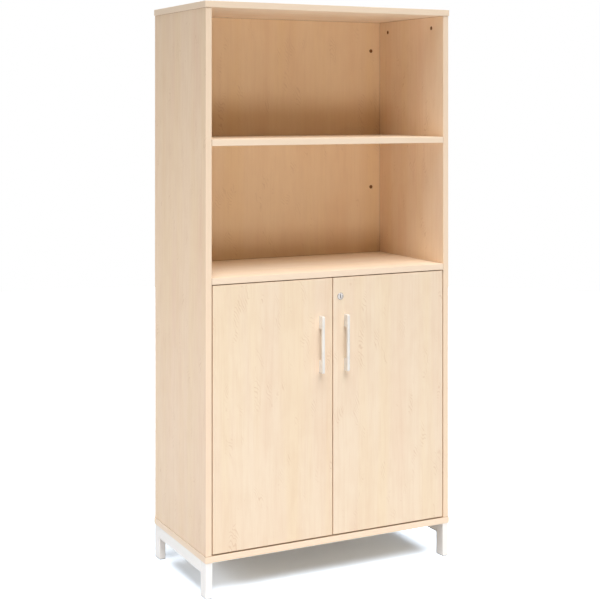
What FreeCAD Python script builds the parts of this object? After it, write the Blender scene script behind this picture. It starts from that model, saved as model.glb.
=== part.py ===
import FreeCAD, Part
import math
import os

# Tall bookcase: two open bays above a cabinet with two inset doors, on two white steel leg frames.
# Millimetres. X to the right, Y from front to back, Z up, origin on the floor below the middle of the object.

# Overall sizes
case_width = 800.0
case_depth = 400.0
total_height = 1654.0
leg_height = 100.0

# Boards, all melamine faced chipboard with a plastic edge band
side_board = 18.0
top_board = 18.0
bottom_board = 18.0
shelf_board = 18.0
back_board = 18.0
door_board = 18.0
board_overhang = 2.0
edge_radius = 1.0
bay_height = 366.0

# Doors
door_gap = 3.0
door_bottom_gap = 4.0
meeting_gap = 3.0

# Loose shelf in the cabinet and the pins that carry it
loose_shelf_side_gap = 1.0
loose_shelf_front_gap = 22.0
loose_shelf_back_gap = 2.0
pin_radius = 2.5
pin_hole_depth = 10.0
pin_shelf_reach = 8.0
pin_plate_thickness = 2.0
pin_plate_drop = 12.0
pin_plate_width = 9.0
pin_pitch = 32.0
pin_rows_each_way = 3
pin_setback = 60.0

# Cam fittings: a cam turned in a blind pocket pulls on the head of a bolt screwed into the next board
cam_radius = 6.0
cam_depth = 14.0
cam_recess = 0.3
cam_setback = 34.0
cam_slot_length = 7.5
cam_slot_width = 1.8
cam_slot_depth = 3.0
cam_from_edge = 68.0
bolt_head_radius = 3.0
bolt_head_length = 3.0
bolt_neck_radius = 1.9
bolt_neck_length = 4.0
bolt_shank_radius = 3.0
bolt_thread_radius = 2.4
bolt_thread_length = 11.0
bolt_head_past_cam_axis = 2.0
bolt_bore_radius = 3.4
shelf_cam_from_edge = 62.0
back_cam_from_end = 93.0
back_cam_levels = 4
fit_clearance = 0.1

# Wooden dowels that line up the sides with the top and the bottom
dowel_radius = 4.0
dowel_length = 30.0
dowel_in_cover = 12.0
dowel_from_edge = 33.0

# Leg frames of rectangular steel tube
leg_tube_width = 20.0
leg_tube_depth = 38.0
rail_height = 35.0
tube_wall = 1.5
tube_corner = 2.0
frame_inset = 2.0
glide_flange = 3.0
glide_plug_height = 16.0
glide_edge = 1.0
frame_screw_radius = 2.4
frame_screw_length = 16.0
frame_screw_head_radius = 4.5
frame_screw_head_height = 2.8
frame_screw_access_radius = 6.0
frame_screw_from_leg = 50.0

# Bow handles, cast, with two long feet and a flat grip bar
handle_length = 164.0
handle_width = 8.0
handle_projection = 22.0
handle_bar = 7.0
handle_foot = 36.0
handle_hole_spacing = 128.0
handle_from_meeting_edge = 39.5
handle_below_door_top = 188.0
handle_outer_radius = 5.0
handle_inner_radius = 4.0
handle_edge = 1.2
handle_screw_radius = 2.0
handle_screw_grip = 12.0
handle_screw_head_radius = 4.0
handle_screw_head_height = 2.6
door_screw_clearance = 0.4

# Concealed cup hinges: a pin in the cup, a goose-neck arm that hooks round the door edge, a plate on the side
hinge_from_door_end = 100.0
pivot_behind_front = 9.0
swing_clearance = 0.6
cup_radius = 17.5
cup_depth = 13.0
cup_tab = 5.0
cup_wall = 0.8
cup_floor = 0.6
cup_flange = 1.0
cup_flange_rim = 1.2
cup_wing_reach = 31.0
cup_wing_width = 14.0
cup_wing_radius = 3.0
cup_screw_spacing = 52.0
cup_screw_offset = 5.5
cheek_thickness = 3.0
cheek_length = 7.4
cheek_height = 7.5
cheek_clearance = 0.4
hinge_pin_radius = 1.5
hinge_running_clearance = 0.05
arm_thickness = 2.5
arm_width = 14.0
arm_eye_radius = 2.95
arm_bend = 4.0
arm_air_at_flange = 1.5
arm_air_at_swing = 0.7
arm_screw_from_plate_line = 14.0
arm_end_margin = 5.5
plate_thickness = 4.0
plate_line_behind_door = 37.0
plate_screw_spacing = 32.0
plate_wing_width = 13.0
plate_wing_reach = 22.0
plate_body_width = 16.0
plate_body_front = 12.0
plate_body_back = 22.0
plate_corner = 3.0
screw_crown = 0.6
screw_recess_reach = 0.5
screw_recess_width = 0.15
screw_recess_depth = 0.6
small_screw_radius = 1.6
small_screw_length = 11.0
small_screw_head_radius = 3.2
small_screw_head_height = 1.4
arm_screw_radius = 2.5
arm_screw_head_radius = 4.0
arm_screw_head_height = 2.2

# Cylinder lock in the right door
lock_from_meeting_edge = 23.5
lock_below_door_top = 54.0
lock_barrel_radius = 9.0
lock_flange_radius = 10.0
lock_flange_thickness = 1.6
lock_flange_bevel = 0.6
lock_core_radius = 7.0
lock_running_clearance = 0.05
lock_core_recess = 1.2
lock_barrel_past_door = 4.2
lock_nut_radius = 12.0
lock_nut_corners = 6
lock_nut_thickness = 3.0
lock_key_height = 11.0
lock_key_width = 2.0
lock_key_depth = 12.0
lock_square = 8.0
lock_cam_thickness = 2.0
lock_cam_width = 14.0
lock_cam_length = 42.0
lock_cam_step = 3.2
lock_cam_step_start = 15.0
lock_cam_step_end = 20.0
lock_cam_screw_head_radius = 4.5
lock_cam_screw_head_height = 2.4
lock_cam_screw_radius = 2.0
lock_cam_screw_length = 8.0

# Slide bolt inside the left door, which holds that door while the right one is locked to it
bolt_from_meeting_edge = 44.0
bolt_bar_width = 12.0
bolt_bar_thickness = 4.0
bolt_bar_length = 62.0
bolt_bar_below_door_top = 3.0
bolt_travel = 14.0
bolt_tip_radius = 2.0
bolt_knob_radius = 4.0
bolt_knob_height = 6.0
guide_height = 44.0
guide_below_door_top = 8.0
guide_wall = 1.2
guide_flange = 9.0
guide_clearance = 0.3
guide_slot_margin = 1.0
guide_screw_from_end = 8.0
strike_length = 44.0
strike_width = 14.0
strike_thickness = 1.5
strike_corner = 3.0
strike_screw_spacing = 32.0
strike_hole_clearance = 1.0
strike_hole_past_tip = 2.0

# Levels and planes that follow from those sizes
overall_depth = case_depth + handle_projection - board_overhang
case_back = overall_depth / 2
case_front = case_back - case_depth
side_front = case_front + board_overhang
side_back = case_back - board_overhang
side_outer = case_width / 2 - board_overhang
side_inner = side_outer - side_board
back_front = side_back - back_board
top_under = total_height - top_board
floor_top = leg_height + bottom_board
open_shelf_top = top_under - bay_height
open_shelf_under = open_shelf_top - shelf_board
middle_shelf_top = open_shelf_under - bay_height
middle_shelf_under = middle_shelf_top - shelf_board
door_front = side_front
door_back = door_front + door_board
door_top = middle_shelf_under - door_gap
door_bottom = floor_top + door_bottom_gap
door_outer = side_inner - door_gap
door_inner = meeting_gap / 2

# The pin lies just far enough from the door's edge for the rounded front corner to swing past the side panel
free_gap = door_gap - swing_clearance
corner_depth = pivot_behind_front - edge_radius
corner_reach = (corner_depth ** 2 - free_gap ** 2) / (2 * free_gap)
pivot_from_door_edge = edge_radius + corner_reach
back_corner_depth = door_board - pivot_behind_front - edge_radius
back_corner_swing = edge_radius + math.hypot(corner_reach, back_corner_depth)
cup_from_door_edge = cup_tab + cup_radius
pivot_x = door_outer - pivot_from_door_edge
pivot_y = door_front + pivot_behind_front
hinge_heights = (door_bottom + hinge_from_door_end, door_top - hinge_from_door_end)

# Two places or directions closer than this count as the same
same_place = 0.001

X = FreeCAD.Vector(1, 0, 0)
Y = FreeCAD.Vector(0, 1, 0)
Z = FreeCAD.Vector(0, 0, 1)


def point(x, y, z):
    return FreeCAD.Vector(x, y, z)


def block(low, high):
    size = high - low
    return Part.makeBox(size.x, size.y, size.z, low)


def rod(start, direction, radius, length):
    return Part.makeCylinder(radius, length, start, direction)


def rounded_corner(before, corner, after, radius):
    """Start, middle and end of the arc that rounds a corner."""
    back = (before - corner).normalize()
    ahead = (after - corner).normalize()
    half_angle = back.getAngle(ahead) / 2
    reach = radius / math.tan(half_angle)
    inward = (back + ahead).normalize()
    middle = corner + inward * (radius / math.sin(half_angle) - radius)
    return corner + back * reach, middle, corner + ahead * reach


def outline(corners, radii):
    """Closed face through the corners, each rounded by its own radius."""
    count = len(corners)
    arcs = [rounded_corner(corners[i - 1], corners[i], corners[(i + 1) % count], radii[i])
            for i in range(count)]
    edges = []
    for i, (start, middle, end) in enumerate(arcs):
        if radii[i] > 0:
            edges.append(Part.Arc(start, middle, end).toShape())
        edges.append(Part.LineSegment(end, arcs[(i + 1) % count][0]).toShape())
    return Part.Face(Part.Wire(edges))


def polygon(corners):
    return Part.Face(Part.makePolygon(corners + corners[:1]))


def strip_outline(path, thickness, bend):
    """Face of a strip bent at right angles along a path, as thick in the bends as in the straights."""
    half = thickness / 2
    last = len(path) - 1
    runs = [(path[i + 1] - path[i]).normalize() for i in range(last)]
    left_points = []
    right_points = []
    left_radii = []
    right_radii = []
    for i, place in enumerate(path):
        into = runs[max(i - 1, 0)]
        out = runs[min(i, last - 1)]
        turn = into.cross(out).z
        offset = Z.cross(into) * half
        if turn:
            offset = offset + Z.cross(out) * half
        left_points.append(place + offset)
        right_points.append(place - offset)
        left_radii.append(abs(turn) * bend - turn * half)
        right_radii.append(abs(turn) * bend + turn * half)
    return outline(left_points + right_points[::-1], left_radii + right_radii[::-1])


def rounded_plate(low, high, direction, radius):
    """Plate with rounded corners in the plane across the direction, which is X, Y or Z."""
    size = high - low
    spans = [axis * size.dot(axis) for axis in (X, Y, Z) if axis is not direction]
    corners = [low, low + spans[0], low + spans[0] + spans[1], low + spans[1]]
    return outline(corners, [radius] * len(corners)).extrude(direction * size.dot(direction))


def turned(profile, start, direction):
    """Solid turned about an axis, from pairs of distance along it and radius."""
    corners = [point(0, 0, profile[0][0])]
    corners += [point(radius, 0, along) for along, radius in profile]
    corners.append(point(0, 0, profile[-1][0]))
    solid = polygon(corners).revolve(point(0, 0, 0), Z, 360)
    solid.Placement = FreeCAD.Placement(start, FreeCAD.Rotation(Z, direction))
    return solid


def screw(seat, direction, head_radius, head_height, shank_radius, shank_length):
    """Screw with a cross recess, its head on the seat point and its shank along the direction."""
    crown = screw_crown * head_height
    profile = [(-head_height, screw_crown * head_radius), (-crown, head_radius), (0, head_radius)]
    profile += [(0, shank_radius), (shank_length, shank_radius)]
    reach = screw_recess_reach * head_radius
    width = screw_recess_width * head_radius
    floor = (screw_recess_depth - 1) * head_height
    slot = block(point(-reach, -width, -head_height), point(reach, width, floor))
    cross_slot = block(point(-width, -reach, -head_height), point(width, reach, floor))
    body = turned(profile, point(0, 0, 0), Z).cut([slot, cross_slot])
    body.Placement = FreeCAD.Placement(seat, FreeCAD.Rotation(Z, direction))
    return body


def small_screw(seat, direction):
    return screw(seat, direction, small_screw_head_radius, small_screw_head_height,
                 small_screw_radius, small_screw_length)


def small_pilot(seat, direction):
    return rod(seat, direction, small_screw_radius + fit_clearance, small_screw_length + fit_clearance)


def eased(shape, radius, chosen):
    return shape.makeFillet(radius, [edge for edge in shape.Edges if chosen(edge)])


def runs_along(edge, direction):
    return edge.tangentAt(edge.FirstParameter).cross(direction).Length < same_place


def at_front(edge, front):
    return abs(edge.CenterOfMass.y - front) < same_place


def placed(shape, origin, x_direction, z_direction):
    copy = shape.copy()
    turn = FreeCAD.Rotation(x_direction, z_direction.cross(x_direction), z_direction, "ZXY")
    copy.Placement = FreeCAD.Placement(origin, turn).multiply(shape.Placement)
    return copy


def mirrored(shapes):
    return [shape.mirror(point(0, 0, 0), X) for shape in shapes]


def write(name, shapes):
    Part.makeCompound(shapes).exportStep(os.path.join("parts", name + ".step"))


# Cam fittings, described once with the bolt along +X and the face of the board at Z = 0

def cam_shape(bolt_depth):
    cam = rod(point(0, 0, -cam_depth), Z, cam_radius - fit_clearance, cam_depth - cam_recess)
    half = cam_slot_length / 2
    width = cam_slot_width / 2
    slot_floor = -cam_recess - cam_slot_depth
    slot = block(point(-half, -width, slot_floor), point(half, width, 0))
    cross_slot = block(point(-width, -half, slot_floor), point(width, half, 0))
    bore_start = -bolt_head_past_cam_axis - fit_clearance
    bore = rod(point(bore_start, 0, -bolt_depth), X, bolt_bore_radius, cam_radius - bore_start)
    return cam.cut([slot, cross_slot, bore])


def cam_bolt_shape(bolt_depth):
    neck_start = bolt_head_length - bolt_head_past_cam_axis
    neck_end = neck_start + bolt_neck_length
    thread_end = cam_setback + bolt_thread_length
    profile = [(-bolt_head_past_cam_axis, bolt_head_radius), (neck_start, bolt_head_radius),
               (neck_start, bolt_neck_radius), (neck_end, bolt_neck_radius),
               (neck_end, bolt_shank_radius), (cam_setback, bolt_shank_radius),
               (cam_setback, bolt_thread_radius), (thread_end, bolt_thread_radius)]
    return turned(profile, point(0, 0, -bolt_depth), X)


def cam_pocket_shape(bolt_depth):
    pocket = rod(point(0, 0, -cam_depth - fit_clearance), Z, cam_radius, cam_depth + fit_clearance)
    bore = rod(point(0, 0, -bolt_depth), X, bolt_bore_radius, cam_setback)
    return pocket.fuse(bore)


def cam_pilot_shape(bolt_depth):
    start = point(cam_setback, 0, -bolt_depth)
    return rod(start, X, bolt_thread_radius + fit_clearance, bolt_thread_length + fit_clearance)


def cam_joints(seats, bolt_depth):
    """Cams, bolts, pockets and pilot holes for seats of (face point, bolt direction, face normal)."""
    made = []
    for maker in (cam_shape, cam_bolt_shape, cam_pocket_shape, cam_pilot_shape):
        shape = maker(bolt_depth)
        made.append([placed(shape, *seat) for seat in seats])
    return made


# Seats of the cams on the left half; the right half mirrors them
cam_rows = (side_front + cam_from_edge, side_back - cam_from_edge)
top_seats = [(point(-side_inner, y, top_under - cam_setback), Z, X) for y in cam_rows]
floor_seats = [(point(-side_inner, y, floor_top + cam_setback), -Z, X) for y in cam_rows]
shelf_rows = (side_front + shelf_cam_from_edge, back_front - shelf_cam_from_edge)
shelf_cam_x = side_inner - cam_setback
open_seats = [(point(-shelf_cam_x, y, open_shelf_under), -X, -Z) for y in shelf_rows]
middle_seats = [(point(-shelf_cam_x, y, middle_shelf_under), -X, -Z) for y in shelf_rows]
back_cam_pitch = (top_under - floor_top - 2 * back_cam_from_end) / (back_cam_levels - 1)
back_levels = [floor_top + back_cam_from_end + level * back_cam_pitch for level in range(back_cam_levels)]
back_seats = [(point(-shelf_cam_x, back_front, z), -X, -Y) for z in back_levels]

top_cams, top_bolts, top_pockets, top_pilots = cam_joints(top_seats, side_board / 2)
floor_cams, floor_bolts, floor_pockets, floor_pilots = cam_joints(floor_seats, side_board / 2)
open_cams, open_bolts, open_pockets, open_pilots = cam_joints(open_seats, shelf_board / 2)
middle_cams, middle_bolts, middle_pockets, middle_pilots = cam_joints(middle_seats, shelf_board / 2)
back_cams, back_bolts, back_pockets, back_pilots = cam_joints(back_seats, back_board / 2)

# Dowels between the sides and the top and bottom boards
dowel_x = side_outer - side_board / 2
dowels = []
dowel_holes = []
for dowel_y in (side_front + dowel_from_edge, side_back - dowel_from_edge):
    for seam, inward in ((top_under, -Z), (floor_top, Z)):
        start = point(-dowel_x, dowel_y, seam) - inward * dowel_in_cover
        dowels.append(rod(start, inward, dowel_radius, dowel_length))
        hole_start = start - inward * fit_clearance
        hole_length = dowel_length + 2 * fit_clearance
        dowel_holes.append(rod(hole_start, inward, dowel_radius + fit_clearance, hole_length))

# Loose shelf and its pins; the pin rows follow a fixed pitch about the middle of the cabinet
loose_shelf_under = (floor_top + middle_shelf_under - shelf_board) / 2
loose_shelf_front = door_back + loose_shelf_front_gap
loose_shelf_back = back_front - loose_shelf_back_gap
pin_columns = (loose_shelf_front + pin_setback, loose_shelf_back - pin_setback)
pin_level = loose_shelf_under - pin_radius
pin_holes = []
for pin_y in pin_columns:
    for row in range(-pin_rows_each_way, pin_rows_each_way + 1):
        mouth = point(-side_inner, pin_y, pin_level + row * pin_pitch)
        pin_holes.append(rod(mouth, -X, pin_radius + fit_clearance, pin_hole_depth + fit_clearance))


def shelf_pin(pin_y):
    tail = rod(point(-side_inner - pin_hole_depth, pin_y, pin_level), X, pin_radius, pin_hole_depth)
    plate_low = point(-side_inner, pin_y - pin_plate_width / 2, pin_level - pin_plate_drop)
    plate_high = point(-side_inner + pin_plate_thickness, pin_y + pin_plate_width / 2, loose_shelf_under)
    ledge_low = point(-side_inner, pin_y - pin_plate_width / 2, loose_shelf_under - pin_plate_thickness)
    ledge_high = point(-side_inner + pin_shelf_reach, pin_y + pin_plate_width / 2, loose_shelf_under)
    return tail.fuse([block(plate_low, plate_high), block(ledge_low, ledge_high)]).removeSplitter()


shelf_pins = [shelf_pin(pin_y) for pin_y in pin_columns]


# Leg frames: two upright tubes and a rail between them on each side, closed below by plastic glides

def tube(low, high, direction):
    outer = rounded_plate(low, high, direction, tube_corner)
    wall = (X + Y + Z - direction) * tube_wall
    inner = rounded_plate(low + wall, high - wall, direction, tube_corner - tube_wall)
    return outer.cut(inner)


frame_outer = case_width / 2 - frame_inset
frame_inner = frame_outer - leg_tube_width
frame_front = case_front + frame_inset
frame_back = case_back - frame_inset


def leg_at(front):
    return tube(point(-frame_outer, front, glide_flange),
                point(-frame_inner, front + leg_tube_depth, leg_height), Z)


def glide_at(front):
    """Plastic foot: a flange under the tube and a plug up its inside."""
    flange = rounded_plate(point(-frame_outer, front, 0),
                           point(-frame_inner, front + leg_tube_depth, glide_flange), Z, tube_corner)
    flange = eased(flange, glide_edge, lambda edge: edge.CenterOfMass.z < same_place)
    skin = tube_wall + fit_clearance
    plug_top = glide_flange + glide_plug_height
    plug = rounded_plate(point(-frame_outer + skin, front + skin, glide_flange),
                         point(-frame_inner - skin, front + leg_tube_depth - skin, plug_top),
                         Z, tube_corner - tube_wall)
    return flange.fuse(plug)


front_leg = leg_at(frame_front)
rail_x = -(frame_outer + frame_inner) / 2
rail_front = frame_front + leg_tube_depth
rail_back = frame_back - leg_tube_depth
rear_leg = leg_at(rail_back)
glides = [glide_at(frame_front), glide_at(rail_back)]
rail_bottom = leg_height - rail_height
rail = tube(point(-frame_outer, rail_front, rail_bottom), point(-frame_inner, rail_back, leg_height), Y)
frame_screws = []
frame_pilots = []
frame_screw_rows = (rail_front + frame_screw_from_leg, (rail_front + rail_back) / 2,
                    rail_back - frame_screw_from_leg)
for screw_y in frame_screw_rows:
    head_seat = point(rail_x, screw_y, leg_height - tube_wall)
    frame_screws.append(screw(head_seat, Z, frame_screw_head_radius, frame_screw_head_height,
                              frame_screw_radius, frame_screw_length))
    frame_pilots.append(rod(head_seat, Z, frame_screw_radius + fit_clearance,
                            frame_screw_length + fit_clearance))
    access = rod(point(rail_x, screw_y, rail_bottom), Z, frame_screw_access_radius, tube_wall)
    rail = rail.cut([access, frame_pilots[-1]])


# Hinges of the left door, at both heights
plate_line = door_back + plate_line_behind_door
arm_screw_y = plate_line + arm_screw_from_plate_line


def cup_screw_seats(height):
    wing_x = -door_outer + cup_from_door_edge + cup_screw_offset
    return [point(wing_x, door_back + cup_flange, height + side * cup_screw_spacing / 2) for side in (-1, 1)]


def hinge_cup(height):
    """Pressed cup with a winged flange on the door's back and two cheeks that hold the pin."""
    cup_x = -door_outer + cup_from_door_edge
    bore_floor = door_back - cup_depth
    outer_radius = cup_radius - fit_clearance
    inner_radius = cup_radius - cup_wall
    shell = rod(point(cup_x, bore_floor + fit_clearance, height), Y, outer_radius, cup_depth - fit_clearance)
    flange_disc = rod(point(cup_x, door_back, height), Y, cup_radius + cup_flange_rim, cup_flange)
    wing_x = cup_x + cup_screw_offset
    wings = rounded_plate(point(wing_x - cup_wing_width / 2, door_back, height - cup_wing_reach),
                          point(wing_x + cup_wing_width / 2, door_back + cup_flange, height + cup_wing_reach),
                          Y, cup_wing_radius)
    inside_start = bore_floor + fit_clearance + cup_floor
    inside = rod(point(cup_x, inside_start, height), Y, inner_radius, cup_depth + cup_flange)
    cup = shell.fuse([flange_disc, wings]).cut(inside)
    cheek_inner = arm_width / 2 + cheek_clearance
    cheek_outer = cheek_inner + cheek_thickness
    cheek_pair = block(point(-pivot_x - cheek_length / 2, bore_floor + fit_clearance, height - cheek_outer),
                       point(-pivot_x + cheek_length / 2, inside_start + cheek_height, height + cheek_outer))
    between = block(point(-pivot_x - cheek_length / 2, inside_start, height - cheek_inner),
                    point(-pivot_x + cheek_length / 2, inside_start + cheek_height, height + cheek_inner))
    cup = cup.fuse(cheek_pair.common(shell).cut(between)).removeSplitter()
    screw_holes = [small_pilot(seat, -Y) for seat in cup_screw_seats(height)]
    pin_hole = rod(point(-pivot_x, pivot_y, height - cheek_outer), Z,
                   hinge_pin_radius + hinge_running_clearance, 2 * cheek_outer)
    return cup.cut(screw_holes + [pin_hole])


def hinge_pin(height):
    half = arm_width / 2 + cheek_clearance + cheek_thickness
    return rod(point(-pivot_x, pivot_y, height - half), Z, hinge_pin_radius, 2 * half)


def goose_neck(height):
    """Arm bent from strip: out of the cup, back past the door edge, then along the side panel."""
    base_x = -side_inner + plate_thickness + arm_thickness / 2
    back_face_reach = door_board - pivot_behind_front + cup_flange
    hook_x = -pivot_x + back_face_reach + arm_air_at_flange + arm_thickness / 2
    return_y = pivot_y + back_corner_swing + arm_air_at_swing + arm_thickness / 2
    low = height - arm_width / 2
    path = [point(-pivot_x, pivot_y, low), point(hook_x, pivot_y, low), point(hook_x, return_y, low),
            point(base_x, return_y, low), point(base_x, arm_screw_y + arm_end_margin, low)]
    strip = strip_outline(path, arm_thickness, arm_bend).extrude(Z * arm_width)
    eye = rod(path[0], Z, arm_eye_radius, arm_width)
    bore = rod(path[0], Z, hinge_pin_radius + hinge_running_clearance, arm_width)
    screw_hole = rod(point(-side_inner + plate_thickness, arm_screw_y, height), X,
                     arm_screw_radius + fit_clearance, arm_thickness)
    return strip.fuse(eye).removeSplitter().cut([bore, screw_hole])


def plate_screw_seats(height):
    return [point(-side_inner + plate_thickness, plate_line, height + side * plate_screw_spacing / 2)
            for side in (-1, 1)]


def mounting_plate(height):
    body = rounded_plate(point(-side_inner, plate_line - plate_body_front, height - plate_body_width / 2),
                         point(-side_inner + plate_thickness, plate_line + plate_body_back,
                               height + plate_body_width / 2), X, plate_corner)
    wings = rounded_plate(point(-side_inner, plate_line - plate_wing_width / 2, height - plate_wing_reach),
                          point(-side_inner + plate_thickness, plate_line + plate_wing_width / 2,
                                height + plate_wing_reach), X, plate_corner)
    arm_screw_hole = rod(point(-side_inner, arm_screw_y, height), X, arm_screw_radius + fit_clearance,
                         plate_thickness)
    screw_holes = [small_pilot(seat, -X) for seat in plate_screw_seats(height)]
    return body.fuse(wings).removeSplitter().cut(screw_holes + [arm_screw_hole])


def arm_screw(height):
    seat = point(-side_inner + plate_thickness + arm_thickness, arm_screw_y, height)
    return screw(seat, -X, arm_screw_head_radius, arm_screw_head_height, arm_screw_radius,
                 plate_thickness + arm_thickness)


hinge_cups = [hinge_cup(height) for height in hinge_heights]
hinge_pins = [hinge_pin(height) for height in hinge_heights]
hinge_arms = [goose_neck(height) for height in hinge_heights]
mounting_plates = [mounting_plate(height) for height in hinge_heights]
arm_screws = [arm_screw(height) for height in hinge_heights]
cup_seats = [seat for height in hinge_heights for seat in cup_screw_seats(height)]
plate_seats = [seat for height in hinge_heights for seat in plate_screw_seats(height)]
cup_screws = [small_screw(seat, -Y) for seat in cup_seats]
cup_pilots = [small_pilot(seat, -Y) for seat in cup_seats]
plate_screws = [small_screw(seat, -X) for seat in plate_seats]
plate_pilots = [small_pilot(seat, -X) for seat in plate_seats]

# Handle of the left door, cut from its side view
handle_x = -door_inner - handle_from_meeting_edge
handle_z = door_top - handle_below_door_top
handle_end = handle_length / 2
handle_gap_end = handle_end - handle_foot
handle_front = door_front - handle_projection
grip_back = handle_front + handle_bar
handle_corners = [(door_front, -handle_end), (handle_front, -handle_end), (handle_front, handle_end),
                  (door_front, handle_end), (door_front, handle_gap_end), (grip_back, handle_gap_end),
                  (grip_back, -handle_gap_end), (door_front, -handle_gap_end)]
handle_radii = [0, handle_outer_radius, handle_outer_radius, 0,
                0, handle_inner_radius, handle_inner_radius, 0]
handle_side = [point(handle_x - handle_width / 2, y, handle_z + z) for y, z in handle_corners]
handle = outline(handle_side, handle_radii).extrude(X * handle_width)
handle = eased(handle, handle_edge, lambda edge: runs_along(edge, Z) and at_front(edge, handle_front))
handle_screws = []
handle_holes = []
for side in (-1, 1):
    hole_z = handle_z + side * handle_hole_spacing / 2
    seat = point(handle_x, door_back, hole_z)
    reach = door_board + handle_screw_grip
    handle_screws.append(screw(seat, -Y, handle_screw_head_radius, handle_screw_head_height,
                               handle_screw_radius, reach))
    handle = handle.cut(rod(seat, -Y, handle_screw_radius + fit_clearance, reach + fit_clearance))
    handle_holes.append(rod(seat, -Y, handle_screw_radius + door_screw_clearance, door_board))

# Door leaf, before the lock or the slide bolt is fitted
door = block(point(-door_outer, door_front, door_bottom), point(-door_inner, door_back, door_top))
door = eased(door, edge_radius, lambda edge: True)
cup_bores = [rod(point(-door_outer + cup_from_door_edge, door_back, height), -Y, cup_radius, cup_depth)
             for height in hinge_heights]
door = door.cut(cup_bores + cup_pilots + handle_holes)

# Slide bolt on the back of the left door, with its guide and the strike under the middle shelf
bolt_x = -door_inner - bolt_from_meeting_edge
bolt_top = door_top - bolt_bar_below_door_top
bolt_bottom = bolt_top - bolt_bar_length
bolt_back = door_back + guide_clearance + bolt_bar_thickness
guide_top = door_top - guide_below_door_top
guide_bottom = guide_top - guide_height
knob_z = (guide_top + guide_bottom) / 2 - bolt_travel / 2
slide_bolt = rounded_plate(point(bolt_x - bolt_bar_width / 2, door_back + guide_clearance, bolt_bottom),
                           point(bolt_x + bolt_bar_width / 2, bolt_back, bolt_top), Y, bolt_tip_radius)
slide_bolt = slide_bolt.fuse(rod(point(bolt_x, bolt_back, knob_z), Y, bolt_knob_radius, bolt_knob_height))

channel_half = bolt_bar_width / 2 + guide_clearance
channel_back = bolt_back + guide_clearance
guide_half = channel_half + guide_wall + guide_flange
channel_depth = channel_back - door_back
hat_half = channel_half + guide_wall
half_section = [(channel_half, channel_depth), (channel_half, 0), (guide_half, 0), (guide_half, guide_wall),
                (hat_half, guide_wall), (hat_half, channel_depth + guide_wall)]
guide_section = half_section + [(-x, y) for x, y in half_section[::-1]]
guide_corners = [point(bolt_x + x, door_back + y, guide_bottom) for x, y in guide_section]
bolt_guide = polygon(guide_corners).extrude(Z * guide_height)
slot_half = bolt_knob_radius + guide_slot_margin
knob_slot = block(point(bolt_x - slot_half, channel_back, knob_z - slot_half),
                  point(bolt_x + slot_half, channel_back + guide_wall, knob_z + bolt_travel + slot_half))
guide_screw_levels = (guide_bottom + guide_screw_from_end, guide_top - guide_screw_from_end)
guide_seats = [point(bolt_x + side * (guide_half - guide_flange / 2), door_back + guide_wall, level)
               for side in (-1, 1) for level in guide_screw_levels]
guide_screws = [small_screw(seat, -Y) for seat in guide_seats]
guide_pilots = [small_pilot(seat, -Y) for seat in guide_seats]
bolt_guide = bolt_guide.cut([knob_slot] + guide_pilots)
left_door = door.cut(guide_pilots)

strike_y = (door_back + guide_clearance + bolt_back) / 2
strike_hole_half_x = bolt_bar_width / 2 + strike_hole_clearance
strike_hole_half_y = bolt_bar_thickness / 2 + strike_hole_clearance
strike_front = strike_y - strike_hole_half_y - strike_hole_clearance
strike_under = middle_shelf_under - strike_thickness
bolt_tip_reach = bolt_top + bolt_travel + strike_hole_past_tip
strike = rounded_plate(point(bolt_x - strike_length / 2, strike_front, strike_under),
                       point(bolt_x + strike_length / 2, strike_front + strike_width, middle_shelf_under),
                       Z, strike_corner)
strike_mortise = block(point(bolt_x - strike_hole_half_x, strike_y - strike_hole_half_y, strike_under),
                       point(bolt_x + strike_hole_half_x, strike_y + strike_hole_half_y, bolt_tip_reach))
strike_seats = [point(bolt_x + side * strike_screw_spacing / 2, strike_front + strike_width / 2, strike_under)
                for side in (-1, 1)]
strike_screws = [small_screw(seat, Z) for seat in strike_seats]
strike_pilots = [small_pilot(seat, Z) for seat in strike_seats]
strike = strike.cut([strike_mortise] + strike_pilots)

# Cylinder lock in the right door: barrel with flange, nut behind the door, turning core, stepped cam
lock_x = door_inner + lock_from_meeting_edge
lock_z = door_top - lock_below_door_top
lock_face = door_front - lock_flange_thickness
barrel_end = door_back + lock_barrel_past_door
barrel_profile = [(0, lock_flange_radius - lock_flange_bevel),
                  (lock_flange_bevel, lock_flange_radius), (lock_flange_thickness, lock_flange_radius),
                  (lock_flange_thickness, lock_barrel_radius), (barrel_end - lock_face, lock_barrel_radius)]
lock_barrel = turned(barrel_profile, point(lock_x, lock_face, lock_z), Y)
lock_barrel = lock_barrel.cut(rod(point(lock_x, lock_face, lock_z), Y,
                                  lock_core_radius + lock_running_clearance, barrel_end - lock_face))
lock_hole = rod(point(lock_x, door_front, lock_z), Y, lock_barrel_radius + fit_clearance, door_board)
right_door = mirrored([door])[0].cut(lock_hole)

nut_angles = [math.tau * corner / lock_nut_corners for corner in range(lock_nut_corners)]
nut_corners = [point(lock_x + lock_nut_radius * math.cos(angle), door_back,
                     lock_z + lock_nut_radius * math.sin(angle)) for angle in nut_angles]
lock_nut = polygon(nut_corners).extrude(Y * lock_nut_thickness)
lock_nut = lock_nut.cut(rod(point(lock_x, door_back, lock_z), Y, lock_barrel_radius + fit_clearance,
                            lock_nut_thickness))

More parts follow.
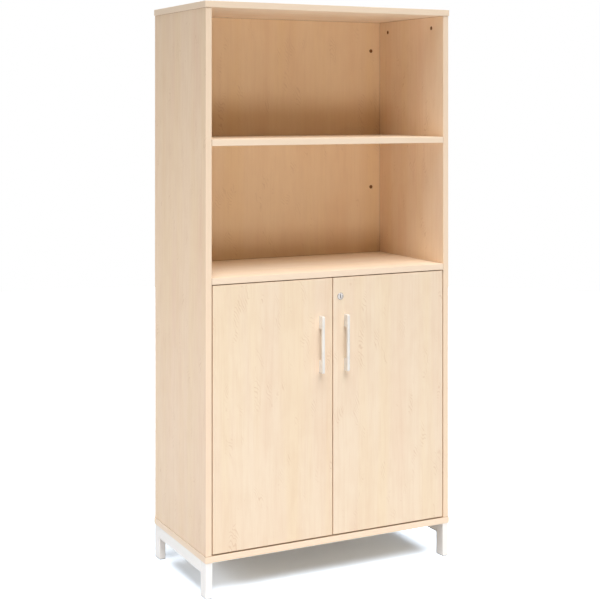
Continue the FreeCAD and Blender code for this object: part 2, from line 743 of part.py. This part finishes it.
core_front = lock_face + lock_core_recess
cam_front = barrel_end + lock_running_clearance
lock_core = rod(point(lock_x, core_front, lock_z), Y, lock_core_radius, cam_front - core_front)
square_half = lock_square / 2
core_square = block(point(lock_x - square_half, cam_front, lock_z - square_half),
                    point(lock_x + square_half, cam_front + lock_cam_thickness, lock_z + square_half))
key_half_width = lock_key_width / 2
key_half_height = lock_key_height / 2
key_slot = block(point(lock_x - key_half_width, core_front, lock_z - key_half_height),
                 point(lock_x + key_half_width, core_front + lock_key_depth, lock_z + key_half_height))
cam_screw_seat = point(lock_x, cam_front + lock_cam_thickness, lock_z)
cam_screw_hole = rod(cam_screw_seat, -Y, lock_cam_screw_radius + fit_clearance, lock_cam_screw_length)
lock_core = lock_core.fuse(core_square).cut([key_slot, cam_screw_hole])

cam_back = cam_front + lock_cam_thickness
cam_tip_front = cam_front - lock_cam_step
cam_tip_back = cam_tip_front + lock_cam_thickness
cam_half = lock_cam_width / 2
cam_section = [(cam_front, cam_half), (cam_front, -lock_cam_step_start), (cam_tip_front, -lock_cam_step_end),
               (cam_tip_front, -lock_cam_length), (cam_tip_back, -lock_cam_length),
               (cam_tip_back, -lock_cam_step_end), (cam_back, -lock_cam_step_start), (cam_back, cam_half)]
cam_corners = [point(lock_x - cam_half, y, lock_z + z) for y, z in cam_section]
lock_cam = polygon(cam_corners).extrude(X * lock_cam_width)
square_clear = square_half + fit_clearance
lock_cam = lock_cam.cut(block(point(lock_x - square_clear, cam_front, lock_z - square_clear),
                              point(lock_x + square_clear, cam_back, lock_z + square_clear)))
lock_cam_screw = screw(cam_screw_seat, -Y, lock_cam_screw_head_radius, lock_cam_screw_head_height,
                       lock_cam_screw_radius, lock_cam_screw_length - fit_clearance)

# Boards of the case, with every bore that the fittings need
left_side = block(point(-side_outer, side_front, floor_top), point(-side_inner, side_back, top_under))
left_side = eased(left_side, edge_radius, lambda edge: True)
side_tools = top_pockets + floor_pockets + dowel_holes + open_pilots + middle_pilots + back_pilots
left_side = left_side.cut(side_tools + pin_holes + plate_pilots)


def cover_board(under, thickness, tools):
    board = block(point(-case_width / 2, case_front, under),
                  point(case_width / 2, case_back, under + thickness))
    board = eased(board, edge_radius, lambda edge: True)
    return board.cut(tools + mirrored(tools))


def fixed_shelf(under, pockets):
    shelf = block(point(-side_inner, side_front, under), point(side_inner, back_front, under + shelf_board))
    shelf = eased(shelf, edge_radius, lambda edge: runs_along(edge, X) and at_front(edge, side_front))
    return shelf.cut(pockets + mirrored(pockets))


back_panel = block(point(-side_inner, back_front, floor_top), point(side_inner, side_back, top_under))
back_panel = back_panel.cut(back_pockets + mirrored(back_pockets))
loose_shelf_half = side_inner - loose_shelf_side_gap
loose_shelf = block(point(-loose_shelf_half, loose_shelf_front, loose_shelf_under),
                    point(loose_shelf_half, loose_shelf_back, loose_shelf_under + shelf_board))
loose_shelf = eased(loose_shelf, edge_radius,
                    lambda edge: runs_along(edge, X) and at_front(edge, loose_shelf_front))

os.makedirs("parts", exist_ok=True)

write("top_panel", [cover_board(top_under, top_board, top_pilots + dowel_holes)])
write("bottom_panel", [cover_board(leg_height, bottom_board, floor_pilots + dowel_holes + frame_pilots)])
write("left_side_panel", [left_side])
write("right_side_panel", mirrored([left_side]))
write("back_panel", [back_panel])
write("open_shelf", [fixed_shelf(open_shelf_under, open_pockets)])
write("middle_shelf", [fixed_shelf(middle_shelf_under, middle_pockets).cut([strike_mortise] + strike_pilots)])
write("cabinet_shelf", [loose_shelf])
write("shelf_pins", shelf_pins + mirrored(shelf_pins))
write("panel_dowels", dowels + mirrored(dowels))
write("side_cams", top_cams + floor_cams + mirrored(top_cams + floor_cams))
write("side_cam_bolts", top_bolts + floor_bolts + mirrored(top_bolts + floor_bolts))
write("shelf_cams", open_cams + middle_cams + mirrored(open_cams + middle_cams))
write("shelf_cam_bolts", open_bolts + middle_bolts + mirrored(open_bolts + middle_bolts))
write("back_cams", back_cams + mirrored(back_cams))
write("back_cam_bolts", back_bolts + mirrored(back_bolts))

write("left_front_leg", [front_leg])
write("left_rear_leg", [rear_leg])
write("left_rail", [rail])
write("right_front_leg", mirrored([front_leg]))
write("right_rear_leg", mirrored([rear_leg]))
write("right_rail", mirrored([rail]))
write("foot_glides", glides + mirrored(glides))
write("frame_screws", frame_screws + mirrored(frame_screws))

left_pieces = {
    "handle": [handle],
    "handle_screws": handle_screws,
    "hinge_cups": hinge_cups,
    "hinge_pins": hinge_pins,
    "cup_screws": cup_screws,
    "hinge_arms": hinge_arms,
    "arm_screws": arm_screws,
    "mounting_plates": mounting_plates,
    "plate_screws": plate_screws,
}
for name, pieces in left_pieces.items():
    write("left_" + name, pieces)
    write("right_" + name, mirrored(pieces))
write("left_door", [left_door])
write("right_door", [right_door])

write("bolt_guide", [bolt_guide])
write("slide_bolt", [slide_bolt])
write("guide_screws", guide_screws)
write("bolt_strike", [strike])
write("strike_screws", strike_screws)

write("lock_barrel", [lock_barrel])
write("lock_nut", [lock_nut])
write("lock_core", [lock_core])
write("lock_cam", [lock_cam])
write("lock_cam_screw", [lock_cam_screw])
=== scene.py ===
import math

import bpy
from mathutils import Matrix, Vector


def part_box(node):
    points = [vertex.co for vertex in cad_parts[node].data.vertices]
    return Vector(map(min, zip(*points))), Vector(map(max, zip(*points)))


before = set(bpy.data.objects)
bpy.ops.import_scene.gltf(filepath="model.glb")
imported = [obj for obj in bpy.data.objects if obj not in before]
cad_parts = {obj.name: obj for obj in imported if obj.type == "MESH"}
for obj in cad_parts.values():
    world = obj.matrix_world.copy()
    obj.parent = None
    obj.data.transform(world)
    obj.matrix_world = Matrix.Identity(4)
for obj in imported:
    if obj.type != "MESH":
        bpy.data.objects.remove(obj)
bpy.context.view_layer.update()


# Case boards: 18 mm chipboard faced with printed birch melamine, edges closed by a plastic band.
# Cams and dowels hold them: a line of painted shade marks where they butt, and bores lay raw
# chipboard bare.
# Painted shade darkens the bottom board along its front edge, in the gap under the doors.

# Side and back panels get deeper copies of the birch tones, which is painted shade.
side_print_shaded = ((249, 223, 194), (245, 213, 184), (247, 220, 183))
back_print_shaded = ((244, 214, 176), (238, 203, 164), (241, 208, 160))
# Boards lying level get a paler copy of the birch tones, which is painted light.
level_print_lit = ((253, 235, 212), (251, 228, 204), (252, 233, 202))
upright = (0, 0, 0)
lengthwise = (0, math.radians(90), 0)
print_step = (1.7, 2.3, 0.9)

# Layers of the print: scale along the grain, where less is more drawn out, and fineness.
cloud_grain = (0.35, 7)
rosy_grain = (0.06, 12)
straw_grain = (0.06, 15)
mottle_grain = (0.6, 26)
flame_grain = (0.12, 9)
fibre_grain = (0.03, 380)
streak_grain = (0.05, 120)
bend_grain = (0.5, 32)
curl_group_grain = (0.35, 30)

birch_vein = (222, 184, 148)
birch_curl = (206, 164, 124)
straw_share = 0.5
mottle_share = 0.08
ring_share = 0.05
fibre_share = 0.12
streak_share = 0.09
curl_share = 0.29
ring_turns = 55.0
curl_pitch = 0.009
curl_slant = 0.55
curl_bend = 36.0
board_roughness = (0.42, 0.54)
board_sheen = 0.15

band_tone = (251, 227, 201)
band_thickness = 0.0009
print_on_band = 0.3
glue_tone = (205, 168, 130)
glue_line = 0.00025
glue_share = 0.5
# A dark line of painted shade where boards butt, also where the shelves meet the back panel.
butt_line_painted_shade = (132, 88, 46)
butt_shade_width = 0.0014
butt_shade_share = 0.6
# Painted shade on the bottom board, in the gap under the doors.
gap_shade_tone = (150, 122, 92)
gap_shade_reach = 0.016
top_face_margin = 0.0003
gap_shade_share = 0.4
chip_pale = (206, 172, 126)
chip_dark = (142, 104, 66)
chip_fineness = 700
bore_depth = 0.0007


def paint(tone):
    """Linear colour of a tone written as red, green and blue from 0 to 255."""
    def linear(level):
        share = level / 255
        return share / 12.92 if share <= 0.04045 else ((share + 0.055) / 1.055) ** 2.4
    return tuple(linear(level) for level in tone) + (1.0,)


class Finish:
    """A material under construction, with short ways to add its nodes and join them."""

    def __init__(self, name):
        self.material = bpy.data.materials.new(name)
        self.material.use_nodes = True
        self.tree = self.material.node_tree
        self.shader = self.tree.nodes["Principled BSDF"]
        self.place = self.add("ShaderNodeTexCoord").outputs["Object"]

    def add(self, kind, **settings):
        node = self.tree.nodes.new(kind)
        for key, value in settings.items():
            setattr(node, key, value)
        return node

    def join(self, source, target):
        """Links a socket to the target, or sets a plain value on it."""
        if hasattr(source, "is_output"):
            self.tree.links.new(source, target)
        else:
            target.default_value = source

    def maths(self, operation, first, second=0.0):
        node = self.add("ShaderNodeMath", operation=operation)
        self.join(first, node.inputs[0])
        self.join(second, node.inputs[1])
        return node.outputs[0]

    def axes(self, source):
        node = self.add("ShaderNodeSeparateXYZ")
        self.join(source, node.inputs[0])
        return node.outputs

    def moved(self, source, shift=(0, 0, 0), turn=(0, 0, 0), scale=(1, 1, 1)):
        node = self.add("ShaderNodeMapping")
        self.join(source, node.inputs["Vector"])
        node.inputs["Location"].default_value = shift
        node.inputs["Rotation"].default_value = turn
        node.inputs["Scale"].default_value = scale
        return node.outputs[0]

    def noise(self, source, fineness, detail=2.0, roughness=0.5, distortion=0.0, drawn=None):
        """Noise of a given fineness, drawn out along the axes whose scale is below 1."""
        node = self.add("ShaderNodeTexNoise")
        self.join(self.moved(source, scale=drawn) if drawn else source, node.inputs["Vector"])
        node.inputs["Scale"].default_value = fineness
        node.inputs["Detail"].default_value = detail
        node.inputs["Roughness"].default_value = roughness
        node.inputs["Distortion"].default_value = distortion
        return node.outputs["Fac"]

    def between(self, source, low, high, to_low=0.0, to_high=1.0):
        """Smooth step of a value from one range to another."""
        node = self.add("ShaderNodeMapRange", interpolation_type="SMOOTHSTEP")
        self.join(source, node.inputs["Value"])
        node.inputs["From Min"].default_value = low
        node.inputs["From Max"].default_value = high
        node.inputs["To Min"].default_value = to_low
        node.inputs["To Max"].default_value = to_high
        return node.outputs[0]

    def blend(self, share, first, second):
        """Mix of two colours by a share."""
        node = self.add("ShaderNodeMix", data_type="RGBA")
        sockets = [socket for socket in node.inputs if socket.enabled]
        for source, socket in zip((share, first, second), sockets):
            self.join(source, socket)
        return next(socket for socket in node.outputs if socket.enabled)

    def coat(self, colour, roughness, metal=0.0):
        """Gives the shader its colour, its roughness and its share of bare metal."""
        self.join(colour, self.shader.inputs["Base Color"])
        self.join(roughness, self.shader.inputs["Roughness"])
        self.shader.inputs["Metallic"].default_value = metal

    def mix_in_tone(self, share, tone):
        """Mixes a tone into the colour that already feeds the shader."""
        base = self.shader.inputs["Base Color"]
        self.join(self.blend(share, base.links[0].from_socket, paint(tone)), base)

    def bump(self, height, depth, strength):
        node = self.add("ShaderNodeBump")
        node.inputs["Strength"].default_value = strength
        node.inputs["Distance"].default_value = depth
        self.join(height, node.inputs["Height"])
        self.join(node.outputs["Normal"], self.shader.inputs["Normal"])


def birch_figure(finish, board, tones):
    """Colour of printed birch with its grain along Z, and the fibres that also roughen it."""
    def layer(grain, **kind):
        drawn_out, fineness = grain
        return finish.noise(board, fineness, drawn=(1, 1, drawn_out), **kind)

    cream, rose, straw = tones
    clouds = finish.between(layer(cloud_grain), 0.3, 0.7)
    rosy_bands = finish.between(layer(rosy_grain), 0.35, 0.65)
    straw_bands = finish.between(layer(straw_grain, distortion=0.3), 0.4, 0.7, 0.0, straw_share)
    rosy_clouds = finish.maths("MULTIPLY", clouds, rosy_bands)
    colour = finish.blend(rosy_clouds, paint(cream), paint(rose))
    colour = finish.blend(straw_bands, colour, paint(straw))

    flame = layer(flame_grain, detail=3, distortion=0.4)
    rings = finish.maths("SINE", finish.maths("MULTIPLY", flame, ring_turns))
    fibres = layer(fibre_grain, detail=4, roughness=0.6)
    streaks = layer(streak_grain, distortion=0.3)
    veins = (finish.between(layer(mottle_grain), 0.4, 0.7, 0.0, mottle_share),
             finish.between(rings, 0.3, 1.0, 0.0, ring_share),
             finish.between(fibres, 0.46, 0.78, 0.0, fibre_share),
             finish.between(streaks, 0.42, 0.68, 0.0, streak_share))
    for share in veins:
        colour = finish.blend(share, colour, paint(birch_vein))

    right, back, up = finish.axes(board)
    across = finish.maths("ADD", right, back)
    slant = finish.maths("ADD", across, finish.maths("MULTIPLY", up, curl_slant))
    bend = finish.maths("MULTIPLY", layer(bend_grain), curl_bend)
    wave = finish.maths("ADD", finish.maths("MULTIPLY", slant, 2 * math.pi / curl_pitch), bend)
    strokes = finish.between(finish.maths("SINE", wave), 0.35, 1.0)
    groups = finish.between(layer(curl_group_grain), 0.59, 0.7, 0.0, curl_share)
    curls = finish.maths("MULTIPLY", strokes, groups)
    return finish.blend(curls, colour, paint(birch_curl)), fibres


def face_depths(finish, node_name):
    """Depth below the nearest face along each axis of a board, thinnest axis first."""
    low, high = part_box(node_name)
    place = finish.axes(finish.place)
    order = sorted(range(3), key=lambda axis: high[axis] - low[axis])
    depths = []
    for axis in order:
        from_low = finish.maths("SUBTRACT", place[axis], low[axis])
        to_high = finish.maths("SUBTRACT", high[axis], place[axis])
        depths.append(finish.maths("MINIMUM", from_low, to_high))
    return depths


def edge_band(finish, colour, border):
    """Lays the band along the border of a board, with its glue line beside it."""
    band_end = band_thickness + glue_line
    past_band = finish.between(border, band_thickness, band_end)
    past_glue = finish.between(border, band_end, band_end + glue_line)
    on_band = finish.maths("SUBTRACT", 1.0, past_band)
    colour = finish.blend(on_band, colour, finish.blend(print_on_band, paint(band_tone), colour))
    seam = finish.maths("SUBTRACT", past_band, past_glue)
    return finish.blend(finish.maths("MULTIPLY", seam, glue_share), colour, paint(glue_tone))


def from_shelves(finish, node_name):
    """Distance on the front face of a board from the nearest shelf that butts against it."""
    place = finish.axes(finish.place)
    behind_face = finish.maths("SUBTRACT", place[1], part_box(node_name)[0][1])
    nearest = 1.0
    for shelf in ("open_shelf", "middle_shelf"):
        low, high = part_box(shelf)
        above = finish.maths("SUBTRACT", place[2], high[2])
        below = finish.maths("SUBTRACT", low[2], place[2])
        away = finish.maths("MAXIMUM", finish.maths("MAXIMUM", above, below), behind_face)
        nearest = finish.maths("MINIMUM", away, nearest)
    return nearest


def paint_butt_shade(finish, colour, away):
    """Paints shade along the line where two boards butt, by the distance from it."""
    dark = finish.between(away, 0.5 * butt_shade_width, butt_shade_width, butt_shade_share, 0.0)
    return finish.blend(dark, colour, paint(butt_line_painted_shade))


def paint_gap_shade(finish, colour, node_name):
    """Paints shade on the upper face of a board along its front edge, where the gap under the doors
    lies.
    """
    low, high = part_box(node_name)
    place = finish.axes(finish.place)
    behind_edge = finish.maths("SUBTRACT", place[1], low[1])
    shaded = finish.between(behind_edge, 0.5 * gap_shade_reach, gap_shade_reach, gap_shade_share, 0.0)
    on_top = finish.maths("GREATER_THAN", place[2], high[2] - top_face_margin)
    return finish.blend(finish.maths("MULTIPLY", shaded, on_top), colour, paint(gap_shade_tone))


def chipboard(finish):
    """Raw chipboard in a bore: pale chips in a darker binder."""
    chips = finish.add("ShaderNodeTexVoronoi")
    finish.join(finish.place, chips.inputs["Vector"])
    chips.inputs["Scale"].default_value = chip_fineness
    chip = finish.add("ShaderNodeSeparateColor")
    finish.join(chips.outputs["Color"], chip.inputs[0])
    return finish.blend(chip.outputs[0], paint(chip_pale), paint(chip_dark))


def birch_board(node_name, grain_turn, print_start, tones, mark=None):
    """Melamine board: print on its faces, bands at its edges, painted shade at its joints or under
    the doors, chipboard in its bores.
    """
    finish = Finish("birch_" + node_name)
    shift = tuple(print_start * step for step in print_step)
    board = finish.moved(finish.place, shift=shift, turn=grain_turn)
    colour, fibres = birch_figure(finish, board, tones)
    thin, middle, long = face_depths(finish, node_name)
    border = finish.maths("MINIMUM", middle, long)
    colour = edge_band(finish, colour, border)
    # Painted shade along the butted joints.
    if mark == "butt shade at ends":
        colour = paint_butt_shade(finish, colour, long)
    elif mark == "butt shade all round":
        away = finish.maths("MINIMUM", border, from_shelves(finish, node_name))
        colour = paint_butt_shade(finish, colour, away)
    elif mark == "gap shade under doors":
        colour = paint_gap_shade(finish, colour, node_name)
    bare = finish.between(finish.maths("MINIMUM", border, thin), bore_depth, 2 * bore_depth)
    printed = finish.between(fibres, 0.3, 0.75, *board_roughness)
    finish.coat(finish.blend(bare, colour, chipboard(finish)),
                finish.maths("MAXIMUM", printed, bare))
    finish.shader.inputs["Specular IOR Level"].default_value = board_sheen
    finish.bump(fibres, depth=0.00006, strength=0.3)
    return finish.material


def dress(node_name, material):
    """Gives a node's mesh one material."""
    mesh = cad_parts[node_name].data
    mesh.materials.clear()
    mesh.materials.append(material)


case_boards = (("left_side_panel", upright, 1, side_print_shaded, "butt shade at ends"),
               ("right_side_panel", upright, 2, side_print_shaded, "butt shade at ends"),
               ("back_panel", upright, 5, back_print_shaded, "butt shade all round"),
               ("top_panel", lengthwise, 6, level_print_lit, None),
               ("bottom_panel", lengthwise, 7, level_print_lit, "gap shade under doors"),
               ("open_shelf", lengthwise, 8, level_print_lit, "butt shade at ends"),
               ("middle_shelf", lengthwise, 9, level_print_lit, "butt shade at ends"))
for board, grain_turn, print_start, tones, mark in case_boards:
    dress(board, birch_board(board, grain_turn, print_start, tones, mark))


# Cam fittings: die-cast zinc cams, browned to go with the birch, turned in blind pockets
# with a screwdriver. Each pulls on a zinc plated bolt screwed into the next board.
# Beech dowels beside them line the sides up with the top and the bottom.

cam_brown = (126, 80, 38)
cam_worn = (168, 120, 72)
rubbed_share = 0.6
cam_roughness = (0.36, 0.52)
cam_metal = 0.4
zinc_bright = (196, 197, 200)
zinc_shade = (160, 161, 165)
dull_share = 0.6
plate_roughness = (0.28, 0.42)
drawn_upright = (1, 1, 0.05)
beech_pale = (206, 164, 116)
beech_pore = (170, 122, 78)
beech_roughness = 0.7


def cast_zinc(name, tone, worn):
    """Cast metal with a brown coat: fine grain, rubbed lighter in patches."""
    finish = Finish(name)
    grain = finish.noise(finish.place, fineness=900, detail=4, roughness=0.6)
    patches = finish.noise(finish.place, fineness=140)
    rubbed = finish.between(patches, 0.45, 0.75, 0.0, rubbed_share)
    finish.coat(finish.blend(rubbed, paint(tone), paint(worn)),
                finish.between(grain, 0.3, 0.7, *cam_roughness), cam_metal)
    finish.bump(grain, depth=0.00006, strength=0.5)
    return finish.material


def plated_steel(name, tone, shade, lines_along=drawn_upright):
    """Plated metal: faint drawn lines, and patches where the plate is duller."""
    finish = Finish(name)
    lines = finish.noise(finish.place, fineness=1600, detail=3, roughness=0.6, drawn=lines_along)
    patches = finish.noise(finish.place, fineness=70)
    dull = finish.between(patches, 0.35, 0.7, 0.0, dull_share)
    finish.coat(finish.blend(dull, paint(tone), paint(shade)),
                finish.between(lines, 0.3, 0.7, *plate_roughness), metal=1.0)
    finish.bump(lines, depth=0.00002, strength=0.3)
    return finish


def raw_beech(name):
    """Turned beech: straight pores along the rod."""
    finish = Finish(name)
    lines = finish.noise(finish.place, fineness=1100, detail=3, drawn=(1, 1, 0.06))
    pores = finish.between(lines, 0.45, 0.7)
    finish.coat(finish.blend(pores, paint(beech_pale), paint(beech_pore)), beech_roughness)
    finish.bump(pores, depth=0.00005, strength=0.4)
    return finish.material


brown_zinc = cast_zinc("brown_zinc", cam_brown, cam_worn)
zinc_plate = plated_steel("zinc_plate", zinc_bright, zinc_shade).material
for row in ("side", "shelf", "back"):
    dress(row + "_cams", brown_zinc)
    dress(row + "_cam_bolts", zinc_plate)
dress("panel_dowels", raw_beech("raw_beech"))


# Leg frames, one at each side: two steel tubes and a rail, welded and powder coated white.
# Screws inside the rails hold them up against the bottom board.
# Pale plastic glides plug the open ends of the legs and stand on the floor.

coat_white = (255, 251, 247)
coat_drift = (250, 245, 240)
scuff_grey = (190, 186, 182)
scuff_height = 0.03
scuff_share = 0.5
coat_roughness = (0.40, 0.50)
glide_pale = (206, 204, 202)
glide_shade = (182, 180, 178)
glide_roughness = (0.48, 0.62)


def powder_coat(name):
    """Baked powder: an orange-peel skin with soft drift, scuffed by shoes just above the floor."""
    finish = Finish(name)
    peel = finish.noise(finish.place, fineness=700)
    drift = finish.between(finish.noise(finish.place, fineness=9), 0.3, 0.75)
    colour = finish.blend(drift, paint(coat_white), paint(coat_drift))
    strokes = finish.noise(finish.place, fineness=60, detail=4, drawn=(1, 1, 6))
    scratches = finish.between(strokes, 0.56, 0.72)
    low_down = finish.between(finish.axes(finish.place)[2], 0.0, scuff_height, scuff_share, 0.0)
    colour = finish.blend(finish.maths("MULTIPLY", scratches, low_down), colour, paint(scuff_grey))
    finish.coat(colour, finish.between(peel, 0.3, 0.7, *coat_roughness))
    finish.bump(peel, depth=0.00008, strength=0.35)
    return finish.material


def moulded_plastic(name, tone, shade):
    """Moulded plastic with a fine eroded grain."""
    finish = Finish(name)
    grain = finish.noise(finish.place, fineness=1400, roughness=0.6)
    patches = finish.between(finish.noise(finish.place, fineness=60), 0.35, 0.7)
    finish.coat(finish.blend(patches, paint(tone), paint(shade)),
                finish.between(grain, 0.3, 0.7, *glide_roughness))
    finish.bump(grain, depth=0.00006, strength=0.5)
    return finish.material


white_coat = powder_coat("white_powder_coat")
for side in ("left", "right"):
    for tube in ("front_leg", "rear_leg", "rail"):
        dress(side + "_" + tube, white_coat)
dress("foot_glides", moulded_plastic("glide_plastic", glide_pale, glide_shade))
dress("frame_screws", zinc_plate)


# Doors: two leaves of the same birch board, banded on all four edges and set in between the sides.
# They are bored from behind for hinge cups and screws, and right through for lock and handles.

door_tones = ((248, 228, 203), (244, 219, 193), (247, 225, 191))
for door, print_start in (("left_door", 3), ("right_door", 4)):
    dress(door, birch_board(door, upright, print_start, door_tones))


# Concealed hinges, two to a door: pressed and bent steel, nickel plated, screwed on.
# The cup is let into the door, the goose-neck arm turns on a pin in the cup,
# and the arm is screwed to a plate on the side panel.

nickel_bright = (212, 209, 204)
nickel_shade = (178, 174, 168)
hinge_nickel = plated_steel("hinge_nickel", nickel_bright, nickel_shade).material
for side in ("left", "right"):
    for piece in ("hinge_cups", "hinge_arms", "mounting_plates"):
        dress(side + "_" + piece, hinge_nickel)
    for piece in ("hinge_pins", "cup_screws", "arm_screws", "plate_screws"):
        dress(side + "_" + piece, zinc_plate)


# Bow handles: zinc castings with two long feet and a flat grip, brushed and lacquered pale silver.
# Two screws through each door hold them from behind.

silver_pale = (232, 227, 220)
silver_shade = (222, 217, 210)
silver_roughness = (0.38, 0.50)
silver_metal = 0.12


def satin_silver(name):
    """Lacquered metal brushed along the grip, with soft clouds in the lacquer."""
    finish = Finish(name)
    brushed = finish.noise(finish.place, fineness=2400, detail=3, roughness=0.6, drawn=(1, 1, 0.02))
    clouds = finish.between(finish.noise(finish.place, fineness=45), 0.35, 0.7)
    finish.coat(finish.blend(clouds, paint(silver_pale), paint(silver_shade)),
                finish.between(brushed, 0.3, 0.7, *silver_roughness), silver_metal)
    finish.bump(brushed, depth=0.00002, strength=0.4)
    return finish.material


handle_silver = satin_silver("handle_silver")
for side in ("left", "right"):
    dress(side + "_handle", handle_silver)
    dress(side + "_handle_screws", zinc_plate)


# Cylinder lock in the right door: a nickel barrel whose flange rim is darkened with painted shade,
# and a core with the keyway, with painted shade beside it.
# A zinc nut behind the door clamps the barrel,
# and a stepped cam screwed to the core reaches past the left door.

lock_bright = (174, 165, 157)
lock_shade = (156, 147, 139)
rim_painted_shade = (128, 122, 118)
rim_shade_width = 0.0016
rim_shade_share = 0.7
core_bright = (190, 181, 173)
core_shade = (176, 167, 159)
keyway_painted_shade = (92, 87, 86)
keyway_half = 0.001
keyway_shade_reach = 0.0025
keyway_shade_share = 0.15
drawn_inwards = (1, 0.05, 1)
lock_low, lock_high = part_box("lock_barrel")
flange_radius = (lock_high[0] - lock_low[0]) / 2


def from_lock_axis(finish):
    """Distances from the axis of the lock: sideways from its upright middle, and straight out."""
    place = finish.axes(finish.place)
    right = finish.maths("SUBTRACT", place[0], lock_low[0] + flange_radius)
    up = finish.maths("SUBTRACT", place[2], lock_low[2] + flange_radius)
    squares = finish.maths("ADD", finish.maths("MULTIPLY", right, right),
                           finish.maths("MULTIPLY", up, up))
    return finish.maths("ABSOLUTE", right), finish.maths("SQRT", squares)


barrel = plated_steel("lock_nickel", lock_bright, lock_shade, drawn_inwards)
outwards = from_lock_axis(barrel)[1]
# Painted shade darkens the rim of the flange.
barrel.mix_in_tone(barrel.between(outwards, flange_radius - rim_shade_width, flange_radius, 0.0, rim_shade_share),
             rim_painted_shade)
dress("lock_barrel", barrel.material)
core = plated_steel("core_nickel", core_bright, core_shade, drawn_inwards)
sideways = from_lock_axis(core)[0]
# Painted shade darkens the core beside the keyway.
core.mix_in_tone(core.between(sideways, keyway_half, keyway_shade_reach, keyway_shade_share, 0.0), keyway_painted_shade)
dress("lock_core", core.material)
for piece in ("lock_nut", "lock_cam", "lock_cam_screw"):
    dress(piece, zinc_plate)


# Slide bolt on the back of the left door: a flat steel bar with a turned knob, zinc plated,
# in a guide folded from sheet. Four screws hold the guide,
# and the bar rises into a strike plate screwed under the middle shelf.

for piece in ("bolt_guide", "slide_bolt", "guide_screws", "bolt_strike", "strike_screws"):
    dress(piece, zinc_plate)


# Cabinet shelf: a loose birch board behind the doors, put in last.
# It lies on four nickel plated pins, pushed into the rows of holes in the sides.

dress("cabinet_shelf", birch_board("cabinet_shelf", lengthwise, 10, level_print_lit))
dress("shelf_pins", hinge_nickel)


# Studio: a round grey floor in a dim room, under a broad light from above and in front,
# with soft boxes around. Seen by the camera, room and floor are bleached white,
# and the floor keeps the shadow of the case.

floor_radius = 6.0
floor_corners = 96
floor_grey = (0.5, 0.5, 0.5, 1)
floor_bleached = (1.71, 1.92, 2.17, 1)
room_white = (1, 1, 1, 1)
room_level = 0.045
overhead_strength = 3.2
overhead_height = math.radians(64)
overhead_bearing = math.radians(-6)
overhead_spread = math.radians(45)


def seen_rays(tree):
    """Socket that is 1 for rays that are seen, straight or mirrored, and 0 for plain light."""
    path = tree.nodes.new("ShaderNodeLightPath")
    seen = path.outputs["Is Camera Ray"]
    for ray in ("Is Glossy Ray", "Is Transmission Ray"):
        either = tree.nodes.new("ShaderNodeMath")
        either.operation = "MAXIMUM"
        tree.links.new(seen, either.inputs[0])
        tree.links.new(path.outputs[ray], either.inputs[1])
        seen = either.outputs[0]
    return seen


def bring_in(name, data):
    """Adds an object to the scene."""
    thing = bpy.data.objects.new(name, data)
    bpy.context.scene.collection.objects.link(thing)
    return thing


turns = [2 * math.pi * corner / floor_corners for corner in range(floor_corners)]
floor_rim = [(floor_radius * math.cos(turn), floor_radius * math.sin(turn), 0) for turn in turns]
floor_mesh = bpy.data.meshes.new("studio_floor")
floor_mesh.from_pydata(floor_rim, [], [list(range(floor_corners))])
floor = bring_in("studio_floor", floor_mesh)
floor_finish = Finish("studio_floor_white")
floor_finish.tree.nodes.remove(floor_finish.shader)
floor_diffuse = floor_finish.add("ShaderNodeBsdfDiffuse")
floor_colour = floor_finish.blend(seen_rays(floor_finish.tree), floor_grey, floor_bleached)
floor_finish.join(floor_colour, floor_diffuse.inputs["Color"])
floor_surface = floor_finish.tree.nodes["Material Output"].inputs["Surface"]
floor_finish.join(floor_diffuse.outputs[0], floor_surface)
floor_mesh.materials.append(floor_finish.material)

world = bpy.data.worlds.new("studio_room")
bpy.context.scene.world = world
world.use_nodes = True
room = world.node_tree
background = room.nodes["Background"]
background.inputs["Color"].default_value = room_white
level = room.nodes.new("ShaderNodeMapRange")
level.inputs["To Min"].default_value = room_level
level.inputs["To Max"].default_value = 1.0
room.links.new(seen_rays(room), level.inputs["Value"])
room.links.new(level.outputs[0], background.inputs["Strength"])


def aim(lamp, backwards):
    """Turns a lamp so that its back points the given way."""
    lamp.rotation_euler = Vector(backwards).to_track_quat("Z", "Y").to_euler()


def soft_box(name, place, target, width, height, watts):
    """Upright soft box that faces a point of the case."""
    light = bpy.data.lights.new(name, "AREA")
    light.shape = "RECTANGLE"
    light.size = width
    light.size_y = height
    light.energy = watts
    lamp = bring_in(name, light)
    lamp.location = place
    aim(lamp, Vector(place) - Vector(target))


overhead = bpy.data.lights.new("overhead_light", "SUN")
overhead.energy = overhead_strength
overhead.angle = overhead_spread
aim(bring_in("overhead_light", overhead),
    (math.cos(overhead_height) * math.sin(overhead_bearing),
     -math.cos(overhead_height) * math.cos(overhead_bearing),
     math.sin(overhead_height)))
soft_box("front_soft_box", place=(-0.45, -3.5, 0.36), target=(0, -0.2, 0.8),
         width=2.4, height=0.7, watts=26.5)
soft_box("left_soft_box", place=(-2.3, -0.4, 0.9), target=(-0.4, 0, 0.6),
         width=1.0, height=0.6, watts=15.0)
soft_box("rear_soft_box", place=(2.2, 2.6, 3.2), target=(0.2, 0.1, 0.9),
         width=1.6, height=1.2, watts=80.0)


# Camera: it stands level in front of the left corner, so that uprights stay upright.
# Its long lens is shifted down to take in the case from top to feet.

camera_place = (-1.8001, -3.5185, 1.3614)
camera_turn = (math.radians(90), 0, math.radians(-26.767))
camera_sensor = 36
camera_lens = 78.44
camera_shift = (0.0071, -0.3224)

camera_data = bpy.data.cameras.new("camera")
camera_data.sensor_width = camera_sensor
camera_data.lens = camera_lens
camera_data.shift_x, camera_data.shift_y = camera_shift
camera = bring_in("camera", camera_data)
camera.location = camera_place
camera.rotation_euler = camera_turn
bpy.context.scene.camera = camera
bpy.context.scene.view_settings.view_transform = "Standard"
